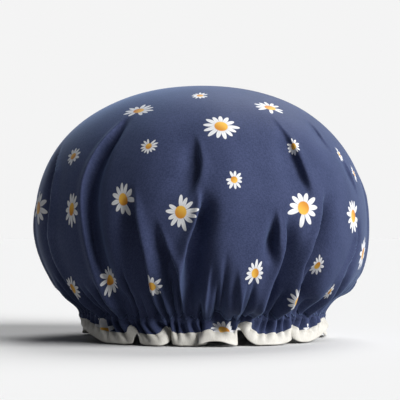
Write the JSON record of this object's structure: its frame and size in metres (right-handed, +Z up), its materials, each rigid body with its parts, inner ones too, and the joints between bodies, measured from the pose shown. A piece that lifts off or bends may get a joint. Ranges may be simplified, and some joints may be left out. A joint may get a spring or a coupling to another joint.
{
  "type": "shower cap",
  "caption": "Bouffant shower cap: a puffed satin cover over a waterproof lining, drawn in by an elastic band, with a frilled, bound edge that stretches over the head.",
  "frame": {"origin": "centre of the cap's base, on the surface that the frill stands on", "axes": "+Z up through the crown, -Y towards the front, +X to the side that the mouth is pulled open to"},
  "size_m": [0.2392, 0.2395, 0.1813],
  "materials": {
    "cover_satin": "navy satin with scattered white daisies",
    "lining_film": "milky waterproof film",
    "elastic_knit": "white braided elastic",
    "binding_tape": "cream bias tape",
    "cover_thread": "navy sewing thread",
    "binding_thread": "cream sewing thread"
  },
  "bodies": {
    "left_half": {"cover_left": "cover_satin", "lining_left": "lining_film", "elastic_band_left": "elastic_knit", "edge_binding_left": "binding_tape", "upper_channel_thread_left": "cover_thread", "lower_channel_thread_left": "cover_thread", "binding_thread_left": "binding_thread"},
    "right_half": {"cover_right": "cover_satin", "lining_right": "lining_film", "elastic_band_right": "elastic_knit", "edge_binding_right": "binding_tape", "upper_channel_thread_right": "cover_thread", "lower_channel_thread_right": "cover_thread", "binding_thread_right": "binding_thread"}
  },
  "joints": [
    {"name": "mouth_stretch", "type": "slide", "parent": "left_half", "child": "right_half", "axis": [1, 0, 0], "range_m": [0, 0.04], "stiffness_N_per_m": 120}
  ]
}
